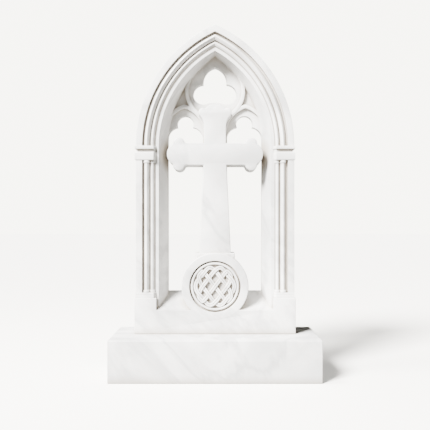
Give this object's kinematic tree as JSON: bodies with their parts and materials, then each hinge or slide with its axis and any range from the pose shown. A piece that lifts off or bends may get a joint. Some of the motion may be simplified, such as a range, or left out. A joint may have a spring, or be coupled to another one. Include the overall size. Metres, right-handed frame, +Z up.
{
  "type": "cross headstone",
  "caption": "Marble memorial: a pointed, moulded frame with tracery around a cross with trefoil ends, a knotwork roundel at its foot, on a plain base block.",
  "frame": {"origin": "middle of the base block's underside, which stands on the ground", "axes": "+Z up, the carved front faces -Y, +X to the right of someone who faces the front"},
  "size_m": [0.762, 0.305, 1.3157],
  "materials": {
    "base_marble": "honed white marble with faint grey veins",
    "carved_marble": "carved and rubbed white marble with faint grey veins"
  },
  "bodies": {
    "root": {"base_block": "base_marble", "headstone": "carved_marble"}
  },
  "joints": []
}
